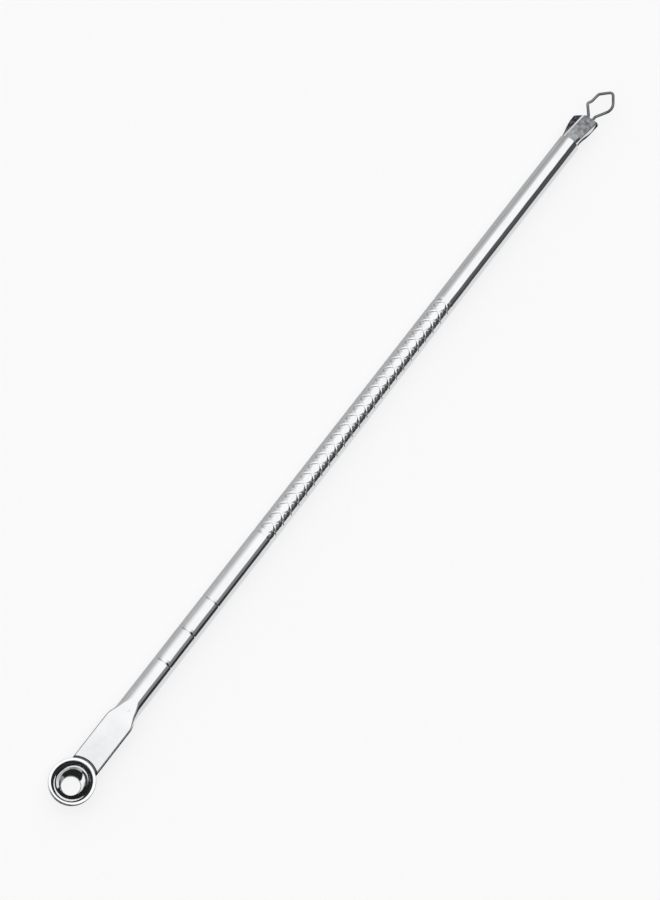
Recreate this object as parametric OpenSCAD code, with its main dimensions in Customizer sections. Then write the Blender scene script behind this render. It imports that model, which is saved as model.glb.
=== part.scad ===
// Double-ended comedone extractor: a knurled steel rod with a pierced cup on its flattened neck
// and a bent wire loop crimped into its other end. The tool lies along X with its cup at -X,
// the bowl opens to +Z, and the foot of the cup is at Z = 0. All sizes are in millimetres.

/* [Rod] */
// Diameter of the round rod
rod_d = 3.0; // [2.6:0.1:3.4]
// Plain rod from the shoulder to the first ring mark
front_plain = 6.4; // [3:0.1:10]
// Plain rod from the last ring mark to the knurled grip
grip_lead = 11.3; // [6:0.1:16]
// Plain rod from the knurled grip to the crimp
rear_plain = 30.8; // [20:0.1:40]

/* [Ring marks] */
// Number of ring marks turned into the rod
mark_count = 3; // [1:1:4]
// Distance from one ring mark to the next
mark_pitch = 5.0; // [3:0.5:6]
// Width of a ring mark
mark_w = 0.38; // [0.2:0.02:0.6]
// Depth of a ring mark
mark_depth = 0.06; // [0.04:0.01:0.15]

/* [Knurled grip] */
// Length of one diamond of the knurl
knurl_pitch = 1.69; // [1.3:0.01:2.2]
// Number of whole diamonds along the grip
knurl_rows = 24; // [16:1:28]
// Number of diamonds round the grip
knurl_starts = 10; // [8:1:12]
// Depth of the knurl's grooves
knurl_depth = 0.17; // [0.08:0.01:0.25]
// Width of the undercut at each end of the grip
relief_w = 0.3; // [0.2:0.05:0.6]
// Depth of the undercut
relief_depth = 0.22; // [0.2:0.02:0.3]

/* [Neck] */
// Width of the flattened neck
neck_w = 3.7; // [3.5:0.1:4.4]
// Thickness of the flattened neck
neck_t = 1.2; // [0.8:0.1:1.6]
// Length from the middle of the cup to the shoulder
neck_len = 9.4; // [7:0.1:13]
// Length of the shoulder between the neck and the round rod
shoulder_len = 3.0; // [2:0.1:5]

/* [Cup] */
// Outer diameter of the cup
cup_d = 5.8; // [5.3:0.1:7]
// Thickness of the cup's wall
cup_wall = 0.35; // [0.25:0.05:0.5]
// Diameter of the hole in the bottom of the cup
hole_d = 2.4; // [1.6:0.1:2.6]
// Width of the flat foot round the hole
foot_w = 0.17; // [0.1:0.01:0.3]
// Height of the cup's rim above the face of the neck
rim_step = 0.25; // [0.2:0.05:0.5]
// Width of the brazed seam between the cup and the neck
seam_w = 0.3; // [0.1:0.05:0.4]
// Depth of the seam's face below the face of the neck
seam_sink = 0.1; // [0.05:0.05:0.2]

/* [Crimp] */
// Length of the crimped end of the rod
crimp_len = 4.9; // [3.5:0.1:6]
// Distance from the middle of the rod to the edge of the wide wing
wide_wing = 1.83; // [1.6:0.01:2]
// Distance from the middle of the rod to the edge of the narrow wing
narrow_wing = 1.74; // [1.5:0.01:1.9]
// The same distance at the narrow wing's waist, where the rod ends
wing_waist = 1.2; // [0.9:0.05:1.3]
// Thickness of the crimp between its pressed faces where the rod ends
crimp_root_t = 1.7; // [1.4:0.05:1.75]
// Thickness of the crimp between its pressed faces at its end
crimp_tip_t = 0.8; // [0.75:0.05:1.3]
// Width of a pressed face
press_w = 1.95; // [1.5:0.05:2]
// Sideways shift of a pressed face from one end of the crimp to the other
press_skew = 0.4; // [0:0.05:0.4]
// Thickness where the slopes beside the pressed faces run out, as a share of the crimp's
wing_share = 0.12; // [0.05:0.01:0.3]
// Length that the slanting end takes off one wing of the crimp
slant_len = 1.0; // [0.6:0.1:1.4]
// Radius of the crimp's corners
corner_r = 0.35; // [0.2:0.05:0.5]

/* [Wire loop] */
// Diameter of the wire
wire_d = 0.4; // [0.35:0.05:0.6]
// Length of the loop outside the crimp
loop_len = 5.5; // [4:0.1:8]
// Width of the loop over the wire
loop_w = 3.4; // [2.8:0.1:5]
// Distance between the two legs of the wire, centre to centre
leg_pitch = 0.8; // [0.7:0.05:0.95]
// Sideways shift of the two legs from the middle of the rod
leg_shift = 0.21; // [0:0.01:0.3]
// Length of wire held inside the crimp
leg_len = 3.6; // [2:0.1:4]
// Radius of the tight bend at the shoulder of the loop
shoulder_bend_r = 0.3; // [0.28:0.02:0.4]
// Radius of the shallow bend behind the shoulder
waist_bend_r = 0.5; // [0.3:0.05:0.6]
// Radius of the bend before the tip of the loop
side_bend_r = 0.8; // [0.6:0.1:1.2]
// Radius of the wide bend on the other side of the loop
belly_bend_r = 1.75; // [1.2:0.05:2]
// Radius of the bend at the tip of the loop
tip_bend_r = 0.4; // [0.3:0.05:0.5]
// Radius of the bends where the legs leave the crimp
leg_bend_r = 0.4; // [0.3:0.05:0.5]
// Distance from the crimp to the bend of the first leg
leg_lead = 0.3; // [0.25:0.05:0.4]
// Distance from the crimp to the bend of the second leg
leg_run = 0.75; // [0.5:0.05:0.9]
// Clearance round a leg in its bore
leg_clearance = 0.01; // [0.01:0.01:0.03]

/* [Hidden] */

$fn = 96;
steel = [0.80, 0.81, 0.83];
bright_steel = [0.87, 0.88, 0.90];
braze = [0.45, 0.45, 0.46];
wire_steel = [0.62, 0.63, 0.65];

rod_r = rod_d / 2;
cup_r = cup_d / 2;
bowl_r = cup_r - cup_wall;
hole_r = hole_d / 2;
foot_r = hole_r + foot_w;
cup_h = sqrt(cup_r * cup_r - foot_r * foot_r);
wire_r = wire_d / 2;

// Places along the tool, measured from the middle of the cup
rod_start = neck_len + shoulder_len;
first_mark = rod_start + front_plain;
last_mark = first_mark + (mark_count - 1) * mark_pitch;
grip_start = last_mark + grip_lead;
grip_len = knurl_rows * knurl_pitch;
grip_end = grip_start + grip_len;
crimp_start = grip_end + rear_plain;
crimp_end = crimp_start + crimp_len;
tool_end = crimp_end + loop_len;
mid_length = (tool_end - cup_r) / 2;

// Heights: the cup's foot, or the rod if that is lower, stands at Z = 0
rim_above_axis = neck_t / 2 + rim_step - cup_wall / 2;
axis_z = max(rod_r, cup_h - rim_above_axis);

// Construction values
relief_r = rod_r - relief_depth;
buried = 0.3;             // length by which one form runs into the next
tuck = 0.02;              // how far the neck's end lies inside the rod's surface
crimp_tuck = 0.1;         // the same at the root of the wide wing
narrowing = 0.6;          // part of the shoulder over which the neck narrows to the rod
side_steps = 12;          // steps round each rounded side of the neck
shoulder_steps = 12;      // sections along the shoulder
flare_steps = 8;          // points along the flare of a wing
flare_share = 0.6;        // part of the crimp over which a wing flares
waist_share = 0.15;       // part of the crimp before the narrow wing flares
slope_out = 0.4;          // how far the slopes beside the pressed faces run past the wide wing
bend_steps = 6;           // steps round one bend of the wire or one corner of the crimp
wire_sides = 12;          // sides of the wire's section
bowl_steps = 24;          // points along one arc of the cup's profile
rim_steps = 12;           // points round the cup's rolled rim
step_chamfer = 0.15;      // chamfer of the rod where the crimp begins
slack = 1;                // how far a cutting form stands clear of what it cuts

function smooth(t) = t * t * (3 - 2 * t);
function unit(v) = v / norm(v);
function arc(c, r, from, to, steps) =
    [for (k = [0:steps]) let (a = from + (to - from) * k / steps) c + r * [cos(a), sin(a)]];

// A closed solid through a list of rings. Each ring has the same number of points, and they run
// the way a right-hand screw turns as it goes along the list.
module loft(rings) {
    n = len(rings[0]);
    last = len(rings) - 1;
    points = [for (ring = rings) each ring];
    sides = [for (k = [0:last - 1], i = [0:n - 1]) let (j = (i + 1) % n)
        each [[k * n + i, (k + 1) * n + i, k * n + j], [k * n + j, (k + 1) * n + i, (k + 1) * n + j]]];
    near_cap = [for (i = [0:n - 1]) i];
    far_cap = [for (i = [n - 1:-1:0]) last * n + i];
    polyhedron(points, concat([near_cap, far_cap], sides), convexity = 8);
}

// Moves a form from the tool's own axis into the part's frame
module placed() {
    translate([-mid_length, 0, axis_z]) children();
}

// Turns a profile of [distance along the tool, radius] points about the tool's axis
module turned(profile) {
    rotate([0, 90, 0]) rotate_extrude() polygon([for (p = profile) [p.y, p.x]]);
}

// Neck: half the width and half the thickness at a distance along the tool
flare_end = neck_len + shoulder_len * narrowing;
round_r = rod_r - tuck;
function along_shoulder(u, end) = min(1, max(0, (u - neck_len) / (end - neck_len)));
function neck_half_w(u) = neck_w / 2 + (round_r - neck_w / 2) * smooth(along_shoulder(u, flare_end));
function neck_half_t(u) =
    let (t = along_shoulder(u, rod_start)) neck_t / 2 + (round_r - tuck - neck_t / 2) * t * t;

// A section of the pressed neck: two flats between rounded sides
function neck_section(u) =
    let (half_w = neck_half_w(u), reach = asin(neck_half_t(u) / round_r),
        side = [for (k = [0:side_steps]) let (a = reach * (2 * k / side_steps - 1))
            [half_w * cos(a), round_r * sin(a)]])
    concat([for (p = side) [u, p.x, p.y]], [for (p = side) [u, -p.x, -p.y]]);

// The flattened neck and its shoulder, from the middle of the cup into the rod
module neck_blank() {
    shoulder = [for (k = [0:shoulder_steps - 1]) neck_len + shoulder_len * k / shoulder_steps];
    loft([for (u = concat([0], shoulder, [rod_start + buried])) neck_section(u)]);
}

// The ball that the cup's outside is part of, widened by a given amount
module cup_ball(extra) {
    translate([0, 0, rim_above_axis]) sphere(cup_r + extra);
}

module neck() {
    difference() {
        neck_blank();
        cup_ball(seam_w);
    }
}

// The rod from the shoulder to the grip, with its ring marks and its undercut
module front_rod() {
    marks = [for (k = [0:mark_count - 1]) let (u = first_mark + k * mark_pitch)
        each [[u - mark_w / 2, rod_r], [u - mark_w / 4, rod_r - mark_depth],
            [u + mark_w / 4, rod_r - mark_depth], [u + mark_w / 2, rod_r]]];
    turned(concat([[rod_start, 0], [rod_start, rod_r]], marks,
        [[grip_start - relief_w, rod_r], [grip_start - relief_w, relief_r],
            [grip_start + buried, relief_r], [grip_start + buried, 0]]));
}

module rear_rod() {
    turned([[grip_end - buried, 0], [grip_end - buried, relief_r], [grip_end + relief_w, relief_r],
        [grip_end + relief_w, rod_r], [crimp_start - step_chamfer, rod_r],
        [crimp_start, rod_r - step_chamfer], [crimp_start, 0]]);
}

// The knurled grip: rows of diamonds between crossing grooves. Each row is half a pitch after
// the row before it and is turned by half a diamond. The first and last rows are cut in half.
last_row = 2 * knurl_rows;
function on_grip(m, turn, r) =
    let (a = 360 * turn / knurl_starts) [grip_start + m * knurl_pitch / 2, r * cos(a), r * sin(a)];
function crossing(m, n) = m * knurl_starts + (n + knurl_starts) % knurl_starts;
function tip(m, n) = (last_row + 1) * knurl_starts + m * knurl_starts + n % knurl_starts;

module knurled_grip() {
    crossings = [for (m = [0:last_row], n = [0:knurl_starts - 1])
        on_grip(m, n + ((m + 1) % 2) / 2, rod_r - knurl_depth)];
    tips = [for (m = [0:last_row], n = [0:knurl_starts - 1]) on_grip(m, n + (m % 2) / 2, rod_r)];
    near_middle = 2 * len(tips);
    far_middle = near_middle + 1;
    diamonds = [for (m = [0:last_row], n = [0:knurl_starts - 1])
        let (up = crossing(m, n + m % 2), down = crossing(m, n + m % 2 - 1))
        each concat(
            m < last_row ? [[tip(m, n), crossing(m + 1, n), up], [tip(m, n), down, crossing(m + 1, n)]] : [],
            m > 0 ? [[tip(m, n), up, crossing(m - 1, n)], [tip(m, n), crossing(m - 1, n), down]] : [])];
    ends = [for (n = [0:knurl_starts - 1]) each [
        [near_middle, tip(0, n), crossing(0, n)], [near_middle, crossing(0, n), tip(0, n + 1)],
        [far_middle, crossing(last_row, n), tip(last_row, n)],
        [far_middle, tip(last_row, n + 1), crossing(last_row, n)]]];
    polyhedron(concat(crossings, tips, [[grip_start, 0, 0], [grip_end, 0, 0]]),
        concat(diamonds, ends), convexity = 8);
}

// The points of a corner's bend: an arc of radius corner.z that touches both of its stretches
function bend(before, corner, after) =
    let (c = [corner.x, corner.y], back = unit([before.x, before.y] - c), on = unit([after.x, after.y] - c),
        half = acos(back * on) / 2, middle = c + unit(back + on) * corner.z / sin(half),
        v = c + back * corner.z / tan(half) - middle, turn = -sign(cross(back, on)) * (180 - 2 * half))
    [for (k = [0:bend_steps]) let (a = turn * k / bend_steps)
        middle + [v.x * cos(a) - v.y * sin(a), v.x * sin(a) + v.y * cos(a)]];

// The fishtail that grips the wire: two pressed faces that taper towards the loop, between sloping
// wings. The wide wing flares from the rod's side and the narrow one from a waist.
crimp_root = rod_r - crimp_tuck;
leg_places = [leg_pitch / 2 - leg_shift, -leg_pitch / 2 - leg_shift];

function crimp_section(u) =
    let (t = (u - crimp_start) / crimp_len,
        half_t = (crimp_root_t + (crimp_tip_t - crimp_root_t) * t) / 2,
        edge_t = half_t * wing_share,
        reach = crimp_root + (wide_wing + slope_out - crimp_root) * t,
        face = [for (side = [1, -1]) press_skew * (0.5 - t) + side * press_w / 2])
    [for (p = [[reach, edge_t], [face[0], half_t], [face[1], half_t], [-reach, edge_t],
        [-reach, -edge_t], [face[1], -half_t], [face[0], -half_t], [reach, -edge_t]]) [u, p.x, p.y]];

function flare(root, edge, from) = [for (k = [0:flare_steps]) let (t = k / flare_steps)
    [crimp_start + crimp_len * (from + flare_share * t), root + (edge - root) * smooth(t)]];

module crimp_outline() {
    wide = flare(crimp_root, wide_wing, 0);
    narrow = flare(wing_waist, narrow_wing, waist_share);
    square_corner = [crimp_end, -narrow_wing, corner_r];
    slant_foot = [crimp_end, leg_places[0] + wire_r, corner_r / 2];
    slant_head = [crimp_end - slant_len, wide_wing, corner_r];
    polygon(concat([[crimp_start - buried, -wing_waist]], [for (p = narrow) [p.x, -p.y]],
        bend([crimp_start, -narrow_wing], square_corner, slant_foot),
        bend(square_corner, slant_foot, slant_head),
        bend(slant_foot, slant_head, [crimp_start, wide_wing]),
        [for (k = [flare_steps:-1:0]) wide[k]], [[crimp_start - buried, crimp_root]]));
}

module crimp() {
    difference() {
        intersection() {
            loft([crimp_section(crimp_start - 2 * buried), crimp_section(crimp_end + buried)]);
            linear_extrude(crimp_root_t + slack, center = true) crimp_outline();
        }
        for (y = leg_places)
            translate([crimp_end - leg_len, y, 0]) rotate([0, 90, 0])
                cylinder(r = wire_r + leg_clearance, h = leg_len + slack);
    }
}

module shank() {
    color(steel) placed() {
        neck();
        front_rod();
        knurled_grip();
        rear_rod();
        crimp();
    }
}

// The cup: half a hollow ball with a rolled rim, a flat foot and a round hole
module cup() {
    foot_angle = acos(foot_r / cup_r);
    hole_angle = acos(hole_r / bowl_r);
    outside = arc([0, 0], cup_r, -foot_angle, 0, bowl_steps);
    rim = arc([(cup_r + bowl_r) / 2, 0], cup_wall / 2, 0, 180, rim_steps);
    bowl = arc([0, 0], bowl_r, 0, -hole_angle, bowl_steps);
    color(bright_steel) placed() translate([0, 0, rim_above_axis]) rotate_extrude()
        polygon(concat([[hole_r, -cup_h]], outside, [for (k = [1:rim_steps - 1]) rim[k]], bowl));
}

// The filler metal that joins the cup to the end of the neck
module braze_seam() {
    color(braze) placed() difference() {
        intersection() {
            neck_blank();
            cup_ball(seam_w);
            translate([0, -cup_d, -cup_d]) cube([cup_d, 2 * cup_d, cup_d + neck_t / 2 - seam_sink]);
        }
        cup_ball(0);
    }
}

// The wire: two legs in the crimp and a loop with rounded corners between them. A corner is its
// distance from the crimp, its distance from the rod's middle and the radius of its bend.
half_loop = loop_w / 2 - wire_r;
loop_middle = -0.057 * loop_w;
wire_corners = [
    [leg_lead, leg_places[0], leg_bend_r],
    [0.333 * loop_len, loop_middle + 1.05 * half_loop, shoulder_bend_r],
    [0.457 * loop_len, loop_middle + 0.85 * half_loop, waist_bend_r],
    [0.726 * loop_len, loop_middle + 0.745 * half_loop, side_bend_r],
    [loop_len - wire_r + 0.62 * tip_bend_r, loop_middle - 0.2 * half_loop, tip_bend_r],
    [0.6 * loop_len, loop_middle - 1.19 * half_loop, belly_bend_r],
    [leg_run, leg_places[1], leg_bend_r]];

module wire_loop() {
    leg_ends = [for (y = leg_places) [-leg_len, y]];
    stops = concat([leg_ends[0]], wire_corners, [leg_ends[1]]);
    path = concat([leg_ends[0]],
        [for (i = [1:len(stops) - 2]) each bend(stops[i - 1], stops[i], stops[i + 1])], [leg_ends[1]]);
    last = len(path) - 1;
    color(wire_steel) placed() translate([crimp_end, 0, 0])
        loft([for (i = [0:last])
            let (along = unit(path[min(i + 1, last)] - path[max(i - 1, 0)]), across = [-along.y, along.x])
            [for (k = [0:wire_sides - 1])
                let (a = 360 * k / wire_sides, p = path[i] + wire_r * cos(a) * across)
                [p.x, p.y, wire_r * sin(a)]]]);
}

shank();
cup();
braze_seam();
wire_loop();
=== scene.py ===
"""Looks of a double-ended blackhead extractor: its polished steel, its knurl and its studio.

The tool is drawn in its own millimetres, measured along the rod from the middle of the cup and
from the rod's axis, and in_frame() puts every finished point into the frame, in metres.
"""
import math

import bpy
import numpy as np
from mathutils import Matrix, Vector


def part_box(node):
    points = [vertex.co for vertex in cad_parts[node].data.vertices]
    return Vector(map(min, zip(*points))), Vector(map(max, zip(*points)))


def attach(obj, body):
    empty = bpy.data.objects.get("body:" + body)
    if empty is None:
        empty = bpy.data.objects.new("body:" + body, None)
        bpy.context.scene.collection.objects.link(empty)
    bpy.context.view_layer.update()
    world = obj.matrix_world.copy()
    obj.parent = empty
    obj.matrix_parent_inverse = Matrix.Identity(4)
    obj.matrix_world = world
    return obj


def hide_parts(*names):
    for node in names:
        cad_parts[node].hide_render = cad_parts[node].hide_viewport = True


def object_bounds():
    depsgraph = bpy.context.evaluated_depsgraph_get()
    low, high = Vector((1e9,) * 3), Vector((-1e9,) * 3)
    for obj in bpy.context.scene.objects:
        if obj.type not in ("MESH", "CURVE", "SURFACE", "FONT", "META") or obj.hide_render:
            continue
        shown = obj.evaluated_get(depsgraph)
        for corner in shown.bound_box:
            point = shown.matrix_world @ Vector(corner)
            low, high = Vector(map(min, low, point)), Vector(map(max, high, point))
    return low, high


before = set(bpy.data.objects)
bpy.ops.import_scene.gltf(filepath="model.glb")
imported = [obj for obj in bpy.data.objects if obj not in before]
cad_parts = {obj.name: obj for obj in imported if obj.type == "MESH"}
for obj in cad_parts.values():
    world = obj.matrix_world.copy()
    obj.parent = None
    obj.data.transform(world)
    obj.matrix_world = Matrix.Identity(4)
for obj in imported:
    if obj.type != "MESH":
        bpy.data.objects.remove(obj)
cad_low, cad_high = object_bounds()

MM = 0.001

# Places taken from the frame
cup_low, cup_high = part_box("cup")
shank_low, shank_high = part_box("shank")
loop_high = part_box("wire_loop")[1]
cup_middle = (cup_low.x + cup_high.x) / 2
axis_height = (shank_low.z + shank_high.z) / 2

# Rod and its ring marks
rod_r = (shank_high.z - shank_low.z) / 2 / MM
first_mark = 18.8
mark_pitch = 5.0
mark_w = 0.38
mark_depth = 0.035
mark_reach = 0.45
# Shares of the painted dark reflection in each ring mark, one for each mark
mark_painted_shade = (1, 1, 0.4)
mark_count = len(mark_painted_shade)

# Knurl: two crossing families of fine grooves, three to a pitch, of which every third one is deeper
knurl_pitch = 1.69
knurl_rows = 24
knurl_starts = 12
groove_family = 3
fine_depth = 0.014
deep_depth = 0.054
groove_share = 0.62
knurl_chamfer = 0.24
rows_along = 720
rows_round = 132

# Knurled grip, between two undercuts that run on inside it
grip_start = 40.1
grip_len = knurl_rows * knurl_pitch
grip_end = grip_start + grip_len
relief_w = 0.3
relief_r = rod_r - 0.03
relief_slope = 0.3
buried = 0.3

# Neck, and the shoulder where its two flats run out into the rod
neck_w = 3.7
neck_t = 1.2
neck_len = 9.4
shoulder_len = 3.0
flare_share = 0.6
flat_run = 3.6

# Cup: a ball outside, and inside a flattish bottom, a rounded corner and a steep wall to a flat rim
cup_r = (cup_high.y - cup_low.y) / 2 / MM
cup_wall = 0.35
hole_r = 1.2
hole_ease = 0.03
foot_r = hole_r + 0.17
foot_t = 0.3
bottom_r = 3.0
bowl_corner_r = 1.86
bowl_corner_start = math.radians(40)
bowl_wall_slope = math.radians(78)
rim_w = 0.4
rim_round = 0.08
rim_height = (cup_high.z - axis_height) / MM - cup_wall / 2
rim_stretch = 0.07
cup_steps = 144

# Seam between the cup and the neck, which bites into both
seam_w = 0.3
seam_sink = 0.1
seam_ripple = 0.012
cup_bite = 0.02
neck_bite = 0.03

# Crimp: a fishtail of two pressed faces between a wide wing at +Y and a narrow one at -Y
crimp_end = (shank_high.x - cup_middle) / MM
crimp_len = 4.9
crimp_start = crimp_end - crimp_len
crimp_root = rod_r - 0.1
crimp_root_t = 1.7
crimp_tip_t = 0.8
wide_wing = 1.83
narrow_wing = 1.74
wing_waist = 1.2
press_w = 1.95
press_skew = 0.4
slant_len = 1.0
corner_r = 0.35
rod_end_round = 0.1

# Wire loop
wire_r = 0.2
loop_len = (loop_high.x - cup_middle) / MM - crimp_end
loop_w = 3.4
leg_pitch = 0.8
leg_shift = 0.21
leg_len = 3.6
tip_bend_r = 0.4
wire_steps = 24

# Rounding of the pressed edges, as the softness that soft_min takes
edge_softness = 0.04
lower_softness = 0.13
shoulder_lower_gain = 0.14
shoulder_upper_gain = 0.24
least_softness = 0.002
press_softness = 0.03

# Camera: its lean back over the cup and to the side, the tool's slant in the picture, and its aim
camera_lean = math.radians(19.95)
camera_side_lean = math.radians(5)
camera_roll = math.radians(52.125)
camera_distance = 330
camera_aim = (54.781, 0.0645)
focal_pixels = 2550
picture_height = 900
sensor_width = 36

# Light by its angle from straight overhead, in degrees, positive towards +Y: as it falls on the cup's
# end of the tool, as it falls on the loop's end, and as it comes from behind the camera. Low behind
# the cup it is even.
light_strength = 1.29
cup_light = [(-180, 0.6), (-91, 0.6), (-89, 0.03), (-64, 0.03), (-60, 0.22), (-36, 0.26),
             (-31, 1.0), (22, 1.0), (34, 0.965), (44, 0.87), (55, 0.72), (66, 0.57), (78, 0.46),
             (90, 0.41), (180, 0.41)]
loop_light = [(-180, 0.6), (-91, 0.6), (-89, 0.05), (-72, 0.09), (-54, 0.06), (-35, 0.03),
              (-31, 1.0), (24, 1.0), (33, 0.95), (39, 0.72), (46, 0.50), (60, 0.44), (73, 0.42),
              (87, 0.36), (180, 0.34)]
back_light = [(-180, 0.6), (-110, 0.6), (-100, 0.02), (32, 0.02), (38, 0.9), (90, 0.8), (180, 0.6)]
low_back_level = 0.9

# Share of the light that is left towards the far end of the room, by a direction's reach along the tool
light_end = [(0.0, 1.0), (0.52, 1.0), (0.68, 0.75), (0.85, 0.6), (1.0, 0.35)]

# Floor
floor_colour = 0.2
floor_glow = 0.785
floor_reach = 3.0

# Colours of the metals, of the tint that heat left on them, and of the painted shade and painted highlight
# on the pressed ends
rod_colour = (0.72, 0.73, 0.745)
cup_colour = (0.80, 0.81, 0.825)
filler_colour = (0.13, 0.13, 0.135)
wire_colour = (0.32, 0.33, 0.345)
heat_tint = (0.60, 0.56, 0.45, 1)
# Dark colour of the painted shade and painted dark reflections on the pressed neck, the ring marks and the
# fishtail
painted_shade_tint = (0.05, 0.054, 0.062, 1)
# Bright colour of the painted highlight along the fishtail's ridge
painted_highlight_tint = (0.86, 0.88, 0.92, 1)


def in_frame(points):
    """Points of the tool, in millimetres, as points of the frame, in metres."""
    return np.asarray(points, float) * MM + [cup_middle, 0, axis_height]


def smooth(t):
    """A rise from 0 to 1 that starts and ends gently."""
    t = np.clip(t, 0, 1)
    return t * t * (3 - 2 * t)


def hill(values, middle, reach, power=2):
    """A rounded hill of height 1 round a place. A higher power flattens its top."""
    return np.exp(-((values - middle) / reach) ** power)


def soft_min(values, softness):
    """The smallest of several radii, with the corners between them rounded."""
    stack = np.stack(np.broadcast_arrays(*values))
    low = stack.min(axis=0)
    return low - softness * np.log(np.exp((low - stack) / softness).sum(axis=0))


def away(numerator, denominator):
    """A plane's distance along each ray, or far away where the ray never meets it."""
    least, far_away = 1e-3, 9.0
    return np.where(denominator > least, numerator / np.maximum(denominator, least), far_away)


def piece_from(name, points, faces, material, slot, replaced, shades=None):
    """A finished piece of the object, on the tool's one body, with shades from 0 to 1 at its points."""
    mesh = bpy.data.meshes.new(name)
    mesh.from_pydata(in_frame(points).tolist(), [], faces)
    mesh.validate()
    mesh.shade_smooth()
    mesh.set_sharp_from_angle(angle=math.radians(38))
    mesh.materials.append(material)
    for shade, values in (shades or {}).items():
        mesh.attributes.new(shade, "FLOAT", "POINT").data.foreach_set("value", values)
    piece = bpy.data.objects.new(name, mesh)
    bpy.context.scene.collection.objects.link(piece)
    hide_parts(replaced)
    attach(piece, "root")
    return piece


def tube_faces(rings, steps, closed=False):
    """Faces of a tube through rings of points that run from +Y to +Z as the tube goes along."""
    faces = []
    for k in range(rings if closed else rings - 1):
        a, b = k * steps, (k + 1) % rings * steps
        for i in range(steps):
            j = (i + 1) % steps
            faces.append((a + i, a + j, b + j, b + i))
    return faces


def lofted(rings):
    """Points and faces of a closed form through the rings, with a point in the middle of each end."""
    rings = np.asarray(rings, float)
    count, steps = rings.shape[:2]
    faces = tube_faces(count, steps)
    last = (count - 1) * steps
    near, far = count * steps, count * steps + 1
    for i in range(steps):
        j = (i + 1) % steps
        faces.append((near, j, i))
        faces.append((far, last + i, last + j))
    points = np.vstack([rings.reshape(-1, 3), rings[0].mean(axis=0), rings[-1].mean(axis=0)])
    return points, faces


def shade_values(**shades):
    """Shades of a lofted piece's rings, with none on the two points that close its ends."""
    return {name: np.append(values, [0, 0]) for name, values in shades.items()}


# Directions of a section's points from the rod's axis
round_steps = 256
turn = np.linspace(0, 2 * math.pi, round_steps, endpoint=False) + math.pi / round_steps
across, upward = np.cos(turn), np.sin(turn)


def ring(u, radius):
    """A ring of points round the axis, at one place or at a place for each point."""
    return np.stack(np.broadcast_arrays(u, radius * across, radius * upward), axis=-1)


def plain_run(start, end, count):
    """Rings along a stretch of the round rod."""
    return [ring(u, rod_r) for u in np.linspace(start, end, count)]


def undercut(edge, way):
    """The rod's rounded shoulder and the undercut beside the grip, which runs on inside the grip."""
    rings = []
    for t in np.linspace(0, 1, 9):
        depth = (rod_r - relief_r) * smooth(t)
        rings.append(ring(edge + way * (relief_w + relief_slope * (0.5 - t)), rod_r - depth))
    rings.append(ring(edge - way * buried, relief_r))
    return rings


def neck_radius(u):
    """The pressed neck and its shoulder: two flats that run out into the round rod."""
    flared = smooth((u - neck_len) / shoulder_len / flare_share)
    half_w = neck_w / 2 + (rod_r - neck_w / 2) * flared
    half_t = neck_t / 2 + (rod_r - neck_t / 2) * smooth((u - neck_len) / flat_run)
    side = 1 / np.sqrt((across / half_w) ** 2 + (upward / rod_r) ** 2)
    lower_side, upper_side = smooth(-4 * across), smooth(4 * across)
    softness = (edge_softness
                + (lower_softness - edge_softness + shoulder_lower_gain * flared) * lower_side
                + shoulder_upper_gain * flared * (1 - flared) * upper_side)
    fade_start = 0.35
    faded = smooth((u - neck_len - fade_start * flat_run) / ((1 - fade_start) * flat_run))
    softness = least_softness + (softness - least_softness) * (1 - faded)
    return soft_min([side, away(half_t, abs(upward))], softness)


def on_ball(radius, y, z):
    """Points on a ball round the middle of the cup's mouth, drawn out as the rim is."""
    x = np.sqrt(radius ** 2 - y ** 2 - (z - rim_height) ** 2)
    return np.stack([x * (1 + rim_stretch), y, z], axis=-1)


def front_rings():
    """The shank from the cup's seam to the undercut in front of the grip."""
    section = neck_radius(0)
    ball = cup_r + seam_w
    rings = []
    for share in (0.4, 0.8, 0.96, 0.985):
        rings.append(on_ball(ball, section * share * across, section * share * upward))
    mouth = on_ball(ball + 0.02, section * across, section * upward)
    rings.append(mouth)
    straight_end = neck_len - 2
    close_rings = (0.004, 0.01)
    for t in (*close_rings, *np.linspace(0, 1, 9)[1:]):
        rings.append(ring(mouth[:, 0] + (straight_end - mouth[:, 0]) * t, section))
    for u in np.linspace(straight_end, neck_len, 7)[1:]:
        rings.append(ring(u, neck_radius(u)))
    for u in np.linspace(neck_len, neck_len + flat_run + 0.1, 81)[1:]:
        rings.append(ring(u, neck_radius(u)))
    mark_gap = mark_reach + 0.05
    rings += plain_run(neck_len + flat_run + 0.3, first_mark - mark_gap, 10)
    for k in range(mark_count):
        middle = first_mark + k * mark_pitch
        for offset in np.linspace(-mark_reach, mark_reach, 37):
            depth = mark_depth * smooth((mark_w / 2 - abs(offset)) / (mark_w / 2))
            rings.append(ring(middle + offset, rod_r - depth))
        rings += plain_run(middle + mark_gap, middle + mark_pitch - mark_gap, 5)
    marks_end = first_mark + mark_count * mark_pitch
    rings += plain_run(marks_end, grip_start - relief_w - 0.2, 9)
    return rings + undercut(grip_start, -1)


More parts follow.
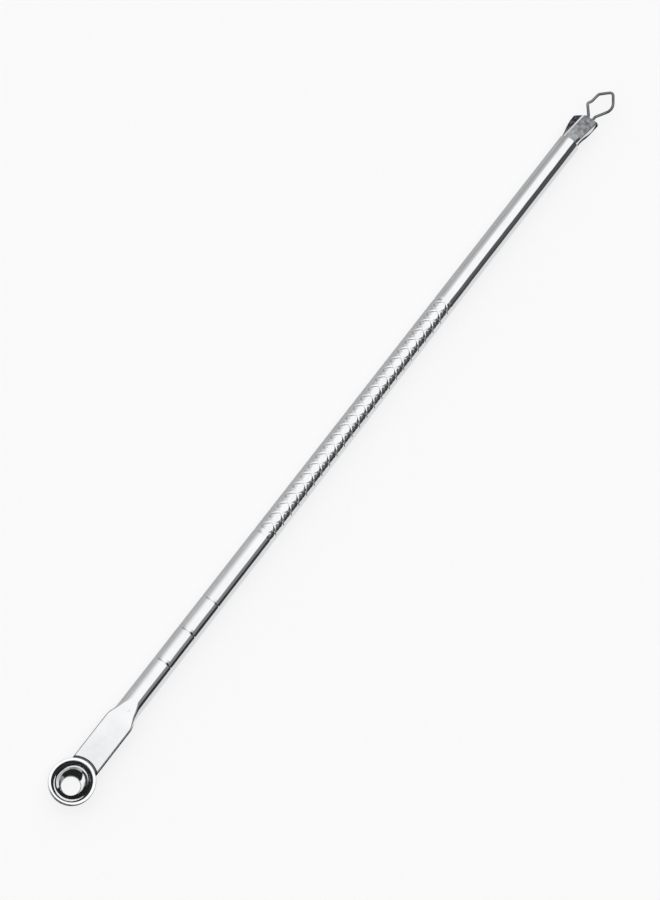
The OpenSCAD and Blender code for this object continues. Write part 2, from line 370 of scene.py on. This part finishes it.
def front_shades(rings):
    """How dull the pressing left the neck's faces, with painted shade on the pressed neck that is deepest
    in a patch in its middle, and painted dark reflections in the ring marks: a spot with a smaller one
    beside it towards -Y, and the same more faintly towards +Y."""
    points = np.asarray(rings).reshape(-1, 3)
    u, y = points[:, 0], points[:, 1]
    painted_mark_shade = np.zeros(len(points))
    # Painted dark reflections in the ring marks, laid on the scale shade: two spots towards -Y and a faint
    # one towards +Y
    for k, share in enumerate(mark_painted_shade):
        off = u - first_mark - k * mark_pitch
        spots = hill(off, -0.02, 0.17, 4) + 0.6 * hill(off, 0.3, 0.08)
        painted_mark_shade += share * spots * (1.2 * hill(y, -0.42, 0.17) + 0.25 * hill(y, 0.75, 0.25))
    # Painted shade on the pressed neck, laid on the scale shade and deepest in a patch in the middle of its
    # faces
    pressed = smooth((neck_len + 1 - u) / 1.5)
    patch = hill(u, 5, 2.2) * hill(y, -0.3, 1.3)
    return shade_values(dull=0.25 * pressed, scale=pressed * (0.05 + 0.06 * patch) + painted_mark_shade,
                        ridge=np.zeros(len(points)))


def pressed_edges(t):
    """Where a pressed face ends towards +Y and towards -Y, at a share of the crimp's length."""
    middle = press_skew * (0.5 - t)
    return middle + press_w / 2, middle - press_w / 2 - 0.15 * t


def narrow_side(t):
    """How far out the narrow wing's cut side lies, at a share of the crimp's length."""
    return wing_waist + (narrow_wing - wing_waist) * smooth((t - 0.15) / 0.6)


def crimp_radius(u):
    """The fishtail: two tapering pressed faces between sloping wings, with one wing cut off at a slant."""
    t = (u - crimp_start) / crimp_len
    half_t = (crimp_root_t + (crimp_tip_t - crimp_root_t) * t) / 2
    upper_edge, lower_edge = pressed_edges(t)
    wide_reach, narrow_reach = crimp_root + 0.9 * t, 1.3 + 0.42 * t
    height = abs(upward)
    flare = crimp_root + (wide_wing - crimp_root) * smooth(t / 0.6)
    wire_side = leg_pitch / 2 - leg_shift + wire_r
    slanted = wire_side + (crimp_end - u) * (wide_wing - wire_side) / slant_len
    past_corner = min(max(0, u - (crimp_end - corner_r)), corner_r)
    square = narrow_side(t) - corner_r + math.sqrt(corner_r ** 2 - past_corner ** 2)
    return soft_min([
        away(half_t, height),
        away(half_t * wide_reach, half_t * across + (wide_reach - upper_edge) * height),
        away(half_t * narrow_reach, -half_t * across + (narrow_reach + lower_edge) * height),
        away(soft_min([flare, slanted], 2 * press_softness), across),
        away(square, -across)], press_softness)


def rear_rings():
    """The shank from the undercut behind the grip to the end of the crimp."""
    rings = undercut(grip_end, 1)[::-1]
    rings += plain_run(grip_end + relief_w + 0.3, crimp_start - 0.3, 24)
    for a in np.linspace(0, math.pi / 2, 9):
        u = crimp_start - rod_end_round * (1 - math.sin(a))
        rings.append(ring(u, rod_r - rod_end_round * (1 - math.cos(a))))
    face_r = rod_r - rod_end_round
    root_place = crimp_start + 0.06
    root = crimp_radius(root_place)
    for share, on in ((0.5, 0.0), (0.85, 0.005), (1, 0.03)):
        rings.append(ring(crimp_start + on, np.minimum(face_r + (root - face_r) * share, rod_r)))
    slant_start = crimp_end - slant_len - 0.3
    for u in np.linspace(root_place, slant_start, 26):
        rings.append(ring(u, crimp_radius(u)))
    for u in np.linspace(slant_start, crimp_end - corner_r, 20)[1:]:
        rings.append(ring(u, crimp_radius(u)))
    for a in np.linspace(0, math.pi / 2, 14)[1:-1]:
        u = crimp_end - corner_r * (1 - math.sin(a))
        rings.append(ring(u, crimp_radius(u)))
    end = crimp_radius(crimp_end - 0.004)
    for share, back in ((0.985, 0.002), (0.96, 0), (0.7, 0), (0.35, 0)):
        rings.append(ring(crimp_end - back, end * share))
    return rings


def crimp_shades(rings):
    """How dull the pressing left each point behind the rod's end, how dark its painted shade is, and
    where the painted highlight lies on the ridge.
    """
    points = np.asarray(rings).reshape(-1, 3)
    u, y = points[:, 0], points[:, 1]
    pressed = (u > crimp_start - 0.02).astype(float)
    t = (u - crimp_start) / crimp_len
    upper_edge, lower_edge = pressed_edges(t)
    ridge_w, slope_w, wing_w = 0.1, 0.08, 0.12
    # Painted highlight along the ridge between the face and the wide wing
    ridge = hill(y, upper_edge, ridge_w, 4)
    # Masks for painted shade and painted dark reflections: the wide wing, the dark outline at the narrow
    # wing's cut side, the -Y slope kept light, a painted shadow in the corner by the root and a dark line
    # along the face's lower edge
    wing = smooth((y - upper_edge) / wing_w)
    rim = smooth((-y - narrow_side(t) + 0.18 + 0.14 * t) / slope_w)
    slope = smooth((lower_edge - y) / slope_w)
    painted_corner_shadow = hill(u, crimp_start + 0.55, 0.65, 4) * hill(y, lower_edge + 0.12, 0.13)
    line = hill(y, lower_edge, 0.05) * smooth((t - 0.2) / 0.2)
    # Painted shade on the face, darker towards the tip, laid on the scale shade
    face = 0.5 + 0.28 * t + 0.3 * wing + 1.2 * painted_corner_shadow * (1 - slope) + 0.35 * line - ridge
    stripe = 0.7 * rim * slope - 0.8 * slope * (1 - rim)
    return shade_values(dull=pressed * (1 - 0.85 * slope),
                        scale=pressed * np.clip(face + stripe, 0, 1.2), ridge=ridge * pressed)


def seam_rings():
    """The bead of filler metal between the cup and the neck, with a hollowed, rippled face."""
    section = neck_radius(0)
    hollow = seam_sink / (neck_t / 2)
    ripple = seam_ripple * np.sin(9 * turn) * np.sin(5 * turn + 1)
    rings = []
    for t in np.linspace(0, 1, 13):
        swell = math.sin(math.pi * t)
        dip = hollow * (0.75 + 0.5 * swell) + ripple * swell
        radius = cup_r - cup_bite + (cup_bite + seam_w + neck_bite) * t
        rings.append(on_ball(radius, section * across * (1 - 0.3 * dip), section * upward * (1 - dip)))
    return rings


def arc(middle_x, middle_z, radius, angles):
    """Points of a profile on a circle, at angles from +X towards +Z."""
    return [(middle_x + radius * math.cos(a), middle_z + radius * math.sin(a)) for a in angles]


def cup_mesh():
    """The pressed bowl with its flat foot, its flat rim with rounded edges and its round hole with eased
    edges. It is drawn out a little where it meets the neck, and more so towards the rim."""
    quarter = math.pi / 2
    foot = -math.sqrt(cup_r ** 2 - foot_r ** 2)
    rim_top = cup_wall / 2
    edge_z = rim_top - rim_round
    outside = arc(0, 0, cup_r, np.linspace(-math.acos(foot_r / cup_r), 0, 40))
    outer_edge = arc(cup_r - rim_round, edge_z, rim_round, np.linspace(0, quarter, 8))
    inner_edge = arc(cup_r - rim_w + rim_round, edge_z, rim_round, np.linspace(quarter, math.pi, 8))
    bottom_z = foot + foot_t + math.sqrt(bottom_r ** 2 - hole_r ** 2)
    corner_x = (bottom_r - bowl_corner_r) * math.sin(bowl_corner_start)
    corner_z = bottom_z - (bottom_r - bowl_corner_r) * math.cos(bowl_corner_start)
    wall = arc(corner_x, corner_z, bowl_corner_r,
               np.linspace(bowl_wall_slope, bowl_corner_start, 36) - quarter)
    hole_angle = math.asin((hole_r + hole_ease) / bottom_r)
    bottom = arc(0, bottom_z, bottom_r, np.linspace(bowl_corner_start, hole_angle, 16)[1:] - quarter)
    profile = [(hole_r + hole_ease, foot)] + outside + outer_edge + inner_edge + wall + bottom
    profile += [(hole_r, bottom[-1][1] - hole_ease), (hole_r, foot + hole_ease)]
    spin = np.linspace(0, 2 * math.pi, cup_steps, endpoint=False)
    points = []
    for r, z in profile:
        stretch = rim_stretch * smooth(1.4 * (z - foot) / (rim_top - foot))
        points += [(r * (math.cos(a) + stretch * max(0, math.cos(a))), r * math.sin(a), z + rim_height)
                   for a in spin]
    return points, tube_faces(len(profile), cup_steps, closed=True)


def bend(before, corner, after, radius, steps=12):
    """The arc that rounds a corner of the wire."""
    before, corner, after = (Vector(p) for p in (before, corner, after))
    back, on = (before - corner).normalized(), (after - corner).normalized()
    half = back.angle(on) / 2
    middle = corner + (back + on).normalized() * radius / math.sin(half)
    start = corner + back * radius / math.tan(half) - middle
    way = -math.copysign(1, back.x * on.y - back.y * on.x)
    for k in range(steps + 1):
        a = way * (math.pi - 2 * half) * k / steps
        yield (middle.x + start.x * math.cos(a) - start.y * math.sin(a),
               middle.y + start.x * math.sin(a) + start.y * math.cos(a))


def wire_path():
    """The wire's middle line: a leg, the bent corners of the loop with their radii, and a leg."""
    half = loop_w / 2 - wire_r
    middle = -0.057 * loop_w
    upper_leg, lower_leg = leg_pitch / 2 - leg_shift, -leg_pitch / 2 - leg_shift
    corners = [
        ((0.3, upper_leg), 0.4),
        ((0.333 * loop_len, middle + 1.05 * half), 0.3),
        ((0.457 * loop_len, middle + 0.85 * half), 0.5),
        ((0.726 * loop_len, middle + 0.745 * half), 0.8),
        ((loop_len - wire_r + 0.62 * tip_bend_r, middle - 0.2 * half), tip_bend_r),
        ((0.6 * loop_len, middle - 1.19 * half), 1.75),
        ((0.75, lower_leg), 0.4)]
    stops = [(-leg_len, upper_leg)] + [corner for corner, radius in corners] + [(-leg_len, lower_leg)]
    path = [stops[0], (-leg_len / 2, upper_leg)]
    for i, (corner, radius) in enumerate(corners):
        path.extend(bend(stops[i], corner, stops[i + 2], radius))
    return np.array(path + [(-leg_len / 2, lower_leg), stops[-1]])


def wire_rings():
    """The round wire along its path."""
    path = wire_path()
    along = np.gradient(path, axis=0)
    along /= np.linalg.norm(along, axis=1)[:, None]
    spin = np.linspace(0, 2 * math.pi, wire_steps, endpoint=False)
    rings = []
    for (x, y), (dx, dy) in zip(path, along):
        rings.append([(crimp_end + x - dy * wire_r * math.cos(a), y + dx * wire_r * math.cos(a),
                       wire_r * math.sin(a)) for a in spin])
    return rings


def add(tree, kind, inputs=None, **settings):
    """A new node with its settings, its values and its links."""
    made = tree.nodes.new(kind)
    for key, value in settings.items():
        setattr(made, key, value)
    for socket, value in (inputs or {}).items():
        if isinstance(value, bpy.types.NodeSocket):
            tree.links.new(value, made.inputs[socket])
        else:
            made.inputs[socket].default_value = value
    return made


def calc(tree, operation, *values):
    """The result of a Math node."""
    return add(tree, "ShaderNodeMath", dict(enumerate(values)), operation=operation).outputs[0]


def graded(tree, value, low, high, to_low=0.0, to_high=1.0):
    """A value carried from one range to another and held at both ends."""
    given = {"Value": value, "From Min": low, "From Max": high, "To Min": to_low, "To Max": to_high}
    return add(tree, "ShaderNodeMapRange", given).outputs[0]


def blend(tree, factor, under, over, kind="MIX"):
    """Two colours laid over each other, through the colour sockets of a Mix node."""
    return add(tree, "ShaderNodeMix", {"Factor": factor, 6: under, 7: over}, data_type="RGBA",
               blend_type=kind).outputs[2]


def noise(tree, spot, scale, detail):
    """The level of a noise texture."""
    given = {"Vector": spot, "Scale": scale, "Detail": detail}
    return add(tree, "ShaderNodeTexNoise", given).outputs["Fac"]


def ramp(tree, value, stops):
    """A colour ramp of greys, through stops of place and level."""
    made = add(tree, "ShaderNodeValToRGB", {"Fac": value})
    elements = made.color_ramp.elements
    for k, (place, level) in enumerate(stops):
        stop = elements[k] if k < 2 else elements.new(place)
        stop.position = place
        stop.color = (level, level, level, 1)
    return made.outputs["Color"]


def knurl_cut(tree, given, along, turned):
    """How deep the grooves of both families go at each point of the grip."""
    narrow = calc(tree, "DIVIDE", given["Groove share"], 2.0)
    cuts = []
    for phase in (calc(tree, "ADD", along, turned), calc(tree, "SUBTRACT", along, turned)):
        for every, depth in ((1, given["Fine depth"]), (groove_family, given["Deep depth"])):
            swing = calc(tree, "PINGPONG", calc(tree, "DIVIDE", phase, every), 0.5)
            off = calc(tree, "MULTIPLY", swing, every)
            wall = calc(tree, "SUBTRACT", 1.0, calc(tree, "DIVIDE", off, narrow))
            cuts.append(calc(tree, "MULTIPLY", calc(tree, "MAXIMUM", wall, 0.0), depth))
    one_way, other_way = calc(tree, "MAXIMUM", cuts[0], cuts[1]), calc(tree, "MAXIMUM", cuts[2], cuts[3])
    return calc(tree, "MAXIMUM", one_way, other_way)


def knurl_tree(material):
    """The tree of the knurl: a grid rolled up round the axis, cut by the grooves and closed at its ends."""
    tree = bpy.data.node_groups.new("knurl", "GeometryNodeTree")
    sockets = (("Length", grip_len), ("Radius", rod_r), ("Pitch", knurl_pitch / groove_family),
               ("Starts", knurl_starts), ("Fine depth", fine_depth), ("Deep depth", deep_depth),
               ("Groove share", groove_share), ("End radius", relief_r), ("End chamfer", knurl_chamfer))
    for name, value in sockets:
        made = tree.interface.new_socket(name, in_out="INPUT", socket_type="NodeSocketFloat")
        made.default_value = value
    tree.interface.new_socket("Geometry", in_out="OUTPUT", socket_type="NodeSocketGeometry")
    given = tree.nodes.new("NodeGroupInput").outputs
    step = calc(tree, "DIVIDE", given["Length"], rows_along)
    length = calc(tree, "MULTIPLY_ADD", step, 2.0, given["Length"])
    grid = add(tree, "GeometryNodeMeshGrid", {"Size X": length, "Size Y": 2 * math.pi,
                                              "Vertices X": rows_along + 3, "Vertices Y": rows_round + 1})
    position = add(tree, "GeometryNodeInputPosition").outputs[0]
    place = add(tree, "ShaderNodeSeparateXYZ", {0: position}).outputs
    half = calc(tree, "DIVIDE", given["Length"], 2.0)
    u = calc(tree, "ADD", place["X"], half)
    inside = calc(tree, "COMPARE", u, half, calc(tree, "MULTIPLY_ADD", step, 0.5, half))
    turned = calc(tree, "MULTIPLY", calc(tree, "DIVIDE", place["Y"], 2 * math.pi), given["Starts"])
    cut = knurl_cut(tree, given, calc(tree, "DIVIDE", u, given["Pitch"]), turned)
    clipped = calc(tree, "MINIMUM", calc(tree, "MAXIMUM", u, 0.0), given["Length"])
    from_end = calc(tree, "MINIMUM", clipped, calc(tree, "SUBTRACT", given["Length"], clipped))
    ease = calc(tree, "MINIMUM", calc(tree, "DIVIDE", from_end, given["End chamfer"]), 1.0)
    full = calc(tree, "SUBTRACT", given["Radius"], cut)
    rise = calc(tree, "MULTIPLY", calc(tree, "SUBTRACT", full, given["End radius"]), ease)
    radius = calc(tree, "MULTIPLY", calc(tree, "ADD", given["End radius"], rise), inside)
    spot = add(tree, "ShaderNodeCombineXYZ", {
        "X": clipped, "Y": calc(tree, "MULTIPLY", radius, calc(tree, "COSINE", place["Y"])),
        "Z": calc(tree, "MULTIPLY", radius, calc(tree, "SINE", place["Y"]))}).outputs[0]
    wrapped = add(tree, "GeometryNodeSetPosition", {"Geometry": grid.outputs["Mesh"], "Position": spot})
    welded = add(tree, "GeometryNodeMergeByDistance", {"Geometry": wrapped.outputs[0], "Distance": 0.001})
    turned_out = add(tree, "GeometryNodeFlipFaces", {"Mesh": welded.outputs[0]})
    real = add(tree, "GeometryNodeRealizeInstances", {"Geometry": turned_out.outputs[0]})
    painted = add(tree, "GeometryNodeSetMaterial", {"Geometry": real.outputs[0], "Material": material})
    tree.links.new(painted.outputs[0], tree.nodes.new("NodeGroupOutput").inputs[0])
    return tree


def knurled_grip(material):
    """The grip's mesh, grown by the knurl's tree and then kept as a plain mesh."""
    holder = bpy.data.objects.new("grip blank", bpy.data.meshes.new("grip blank"))
    bpy.context.scene.collection.objects.link(holder)
    holder.modifiers.new("knurl", "NODES").node_group = knurl_tree(material)
    grown = holder.evaluated_get(bpy.context.evaluated_depsgraph_get())
    mesh = bpy.data.meshes.new_from_object(grown)
    bpy.data.objects.remove(holder)
    points = np.empty(len(mesh.vertices) * 3)
    mesh.vertices.foreach_get("co", points)
    faces = [tuple(p.vertices) for p in mesh.polygons]
    bpy.data.meshes.remove(mesh)
    piece = piece_from("knurled_grip", points.reshape(-1, 3) + [grip_start, 0, 0], faces, material,
                       "shank_steel", "shank")
    piece.data.shade_smooth()
    return piece


def pressed_look(tree, spot, colour, rough, height):
    """The pressed end's look: a tint of heat on the flank by the crimp, mottled painted shade, a painted
    highlight on the ridge, and the pressed areas duller. Each follows the piece's own shades."""
    dull, scale, ridge = (add(tree, "ShaderNodeAttribute", attribute_name=shade).outputs["Fac"]
                          for shade in ("dull", "scale", "ridge"))
    place = add(tree, "ShaderNodeSeparateXYZ", {0: spot}).outputs
    heat_start = cup_middle + (crimp_start - 3) * MM
    heat = ramp(tree, calc(tree, "DIVIDE", calc(tree, "SUBTRACT", place["X"], heat_start), 4 * MM),
                [(0, 0), (0.25, 0.1), (0.55, 0.5), (0.74, 0.5), (0.76, 0)])
    flank = graded(tree, place["Y"], 0.5 * MM, 0.9 * MM)
    colour = blend(tree, calc(tree, "MULTIPLY", heat, flank), colour, heat_tint)
    mottle = noise(tree, spot, 1800, 4)
    # The scale shade carries painted shade and painted dark reflections, mottled by noise
    mottled_painted_shade = calc(tree, "MULTIPLY", scale, calc(tree, "MULTIPLY_ADD", mottle, 1.5, 0.25))
    colour = blend(tree, mottled_painted_shade, colour, painted_shade_tint)
    # Painted highlight on the ridge
    colour = blend(tree, ridge, colour, painted_highlight_tint)
    rough = calc(tree, "MULTIPLY_ADD", dull, 0.28, rough)
    grain = calc(tree, "MULTIPLY", calc(tree, "MULTIPLY", mottle, dull), 0.3)
    return colour, rough, calc(tree, "ADD", height, grain)


def steel(name, colour, roughness, grain, wave, shaded=False, darkest=0.96):
    """Polished steel: fine marks along the tool, soft smudges, and a faint waviness of the surface.
    A shaded piece also has the pressed look, with painted shade and a painted highlight."""
    made = bpy.data.materials.new(name)
    made.use_nodes = True
    tree = made.node_tree
    shader = tree.nodes["Principled BSDF"]
    shader.inputs["Metallic"].default_value = 1
    spot = add(tree, "ShaderNodeTexCoord").outputs["Object"]
    lines = add(tree, "ShaderNodeMapping", {"Vector": spot, "Scale": (400, 9000, 9000)}).outputs[0]
    marks = noise(tree, lines, 1, 3)
    tone = graded(tree, noise(tree, spot, 350, 4), 0.3, 0.7, darkest, 1.02)
    tinted = blend(tree, 1.0, (*colour, 1), tone, "MULTIPLY")
    rough = graded(tree, marks, 0.35, 0.75, roughness, roughness + grain)
    height = calc(tree, "MULTIPLY_ADD", marks, 0.1, noise(tree, spot, 160, 2))
    if shaded:
        tinted, rough, height = pressed_look(tree, spot, tinted, rough, height)
    tree.links.new(tinted, shader.inputs["Base Color"])
    tree.links.new(rough, shader.inputs["Roughness"])
    bump = add(tree, "ShaderNodeBump", {"Strength": wave, "Distance": 0.0001, "Height": height})
    tree.links.new(bump.outputs[0], shader.inputs["Normal"])
    return made


def level_sheet(name, material, low, high, height):
    """A level sheet of the studio, between two corners."""
    mesh = bpy.data.meshes.new(name)
    mesh.from_pydata([(low[0], low[1], height), (high[0], low[1], height), (high[0], high[1], height),
                      (low[0], high[1], height)], [], [(0, 1, 2, 3)])
    mesh.materials.append(material)
    sheet = bpy.data.objects.new(name, mesh)
    bpy.context.scene.collection.objects.link(sheet)
    return sheet


def pale_floor():
    """A white floor that glows and is lit a little by the studio, so that the tool's shadow stays soft."""
    made = bpy.data.materials.new("pale floor")
    made.use_nodes = True
    tree = made.node_tree
    shader = tree.nodes["Principled BSDF"]
    shader.inputs["Base Color"].default_value = (floor_colour, floor_colour, floor_colour, 1)
    shader.inputs["Roughness"].default_value = 0.9
    shader.inputs["Specular IOR Level"].default_value = 0.1
    shader.inputs["Emission Color"].default_value = (1, 1, 1, 1)
    ray = add(tree, "ShaderNodeLightPath").outputs
    seen = calc(tree, "MAXIMUM", calc(tree, "MAXIMUM", ray["Is Camera Ray"], ray["Is Glossy Ray"]),
                ray["Is Transmission Ray"])
    tree.links.new(calc(tree, "MULTIPLY", seen, floor_glow), shader.inputs["Emission Strength"])
    floor = level_sheet("floor", made, (-floor_reach, -floor_reach), (floor_reach, floor_reach), 0)


def lay_card(name, level, low, high, height):
    """A level card, on the floor or held over the tool. Only the steel sees it."""
    made = bpy.data.materials.new(name)
    made.use_nodes = True
    tree = made.node_tree
    tree.nodes.clear()
    glow = add(tree, "ShaderNodeEmission", {"Color": (1, 1, 1, 1), "Strength": level})
    tree.links.new(glow.outputs[0], add(tree, "ShaderNodeOutputMaterial").inputs["Surface"])
    card = level_sheet(name, made, low, high, height)
    for kind in ("camera", "diffuse", "shadow", "transmission", "volume_scatter"):
        setattr(card, "visible_" + kind, False)


def studio_light():
    """A broad soft light overhead, which fades far beyond the loop, with a dark side at -Y and the dark
    camera behind the cup."""
    world = bpy.data.worlds.new("soft studio")
    bpy.context.scene.world = world
    world.use_nodes = True
    tree = world.node_tree
    tree.nodes.clear()
    direction = add(tree, "ShaderNodeTexCoord").outputs["Generated"]
    way = add(tree, "ShaderNodeSeparateXYZ", {0: direction}).outputs
    share = calc(tree, "MULTIPLY_ADD", calc(tree, "ARCTAN2", way["Y"], way["Z"]), 0.5 / math.pi, 0.5)
    near, far, behind = (ramp(tree, share, [(degrees / 360 + 0.5, level) for degrees, level in stops])
                         for stops in (cup_light, loop_light, back_light))
    low_back = (low_back_level, low_back_level, low_back_level, 1)
    bands = blend(tree, graded(tree, way["X"], 0.25, 0.5), near, far)
    bands = blend(tree, graded(tree, way["X"], -0.62, -0.5), behind, bands)
    bands = blend(tree, graded(tree, way["X"], -0.9, -0.8), low_back, bands)
    far_corner = calc(tree, "MULTIPLY_ADD", calc(tree, "MAXIMUM", way["Y"], 0.0), 0.15, way["X"])
    fading = blend(tree, 1.0, bands, ramp(tree, far_corner, light_end), "MULTIPLY")
    glow = add(tree, "ShaderNodeBackground", {"Color": fading, "Strength": light_strength})
    tree.links.new(glow.outputs[0], add(tree, "ShaderNodeOutputWorld").inputs["Surface"])


def camera():
    """The photograph's view: from above, leaning back over the cup, with the tool lying across."""
    aim = Vector((cup_middle + camera_aim[0] * MM, camera_aim[1] * MM, axis_height))
    back = Vector((-math.sin(camera_lean), -math.sin(camera_side_lean) * math.cos(camera_lean),
                   math.cos(camera_side_lean) * math.cos(camera_lean)))
    along = (Vector((1, 0, 0)) - back.x * back).normalized()
    side = back.cross(along)
    right = math.cos(camera_roll) * along - math.sin(camera_roll) * side
    top = math.sin(camera_roll) * along + math.cos(camera_roll) * side
    place = Matrix.Translation(aim + camera_distance * MM * back)
    data = bpy.data.cameras.new("camera")
    data.sensor_width = sensor_width
    data.lens = sensor_width * focal_pixels / picture_height
    data.clip_start, data.clip_end = 0.01, 20
    made = bpy.data.objects.new("camera", data)
    made.matrix_world = place @ Matrix((right, top, back)).transposed().to_4x4()
    bpy.context.scene.collection.objects.link(made)
    bpy.context.scene.camera = made


camera()
studio_light()
pale_floor()

# Cards that only the steel sees: a grey one on the floor beside the tool at +Y, which makes the floor look
# # darker in the steel's reflections there, a dark one on the floor under the cup and neck, which puts a
# # painted shadow into their reflections, and a black one held over the cup
lay_card("grey card", level=0.55, low=(cad_low.x - 20 * MM, 0.8 * MM),
         high=(cad_high.x + 20 * MM, 80 * MM), height=0.02 * MM)
lay_card("dark card", level=0.03, low=(cad_low.x - 20 * MM, -7 * MM),
         high=(cup_middle + 11 * MM, 3.2 * MM), height=0.04 * MM)
lay_card("black card over the cup", level=0.02, low=(cup_middle - 60 * MM, -80 * MM),
         high=(cup_middle - 0.2 * MM, 12.5 * MM), height=axis_height + 20 * MM)

rod_steel = steel("polished steel", rod_colour, roughness=0.05, grain=0.06, wave=0.25)
# Steel of the pressed ends, with painted shade and a painted highlight from the pieces' shades
end_steel = steel("pressed steel", rod_colour, roughness=0.05, grain=0.06, wave=0.25, shaded=True)
cup_steel = steel("bright cup steel", cup_colour, roughness=0.03, grain=0.04, wave=0.15)
filler = steel("brazed filler", filler_colour, roughness=0.35, grain=0.2, wave=0.6)
wire_steel = steel("drawn wire", wire_colour, roughness=0.16, grain=0.12, wave=0.3, darkest=0.25)

front = front_rings()
piece_from("shank_front", *lofted(front), end_steel, "shank_steel", "shank", front_shades(front))
rear = rear_rings()
piece_from("shank_rear", *lofted(rear), end_steel, "shank_steel", "shank", crimp_shades(rear))
knurled_grip(rod_steel)
piece_from("pierced_cup", *cup_mesh(), cup_steel, "cup_steel", "cup")
piece_from("seam_bead", *lofted(seam_rings()), filler, "braze", "braze_seam")
piece_from("bent_wire", *lofted(wire_rings()), wire_steel, "loop_wire", "wire_loop")

settings = bpy.context.scene.view_settings
settings.view_transform = "Standard"
